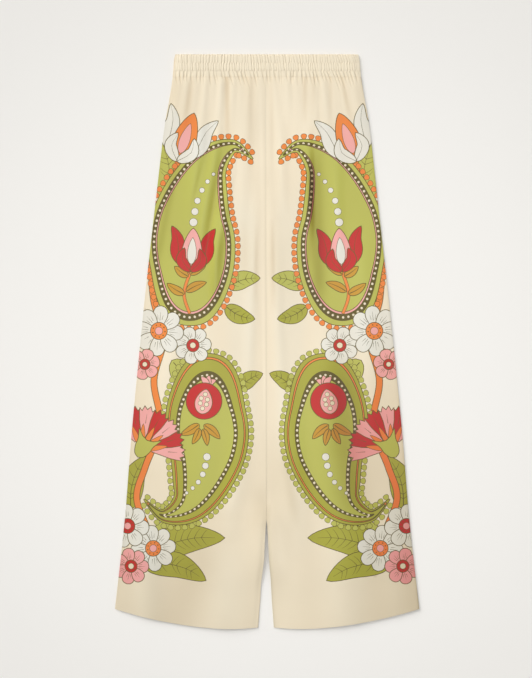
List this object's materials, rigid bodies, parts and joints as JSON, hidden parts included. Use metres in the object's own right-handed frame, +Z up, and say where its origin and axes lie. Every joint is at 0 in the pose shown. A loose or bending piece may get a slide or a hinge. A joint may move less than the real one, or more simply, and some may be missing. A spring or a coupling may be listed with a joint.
{
  "type": "palazzo pants",
  "caption": "Wide-leg pull-on trousers laid out flat with the front up, with a gathered elastic waistband, soft folds and curved open hems.",
  "frame": {"origin": "middle of the base, on the surface that the garment lies on", "axes": "+Y runs up the garment to the waist, +Z points up from the surface to the garment's front, and +X to the wearer's left"},
  "size_m": [0.5648, 1.06, 0.007],
  "materials": {
    "leg_cloth": "soft printed twill with a satin sheen, cream with a placed print in green, orange, pink and white along the sides",
    "band_cloth": "plain cream twill with a satin sheen, gathered on elastic"
  },
  "bodies": {
    "root": {"back_leg_right": "leg_cloth", "back_leg_left": "leg_cloth", "front_leg_right": "leg_cloth", "front_leg_left": "leg_cloth", "waistband": "band_cloth"}
  },
  "joints": []
}
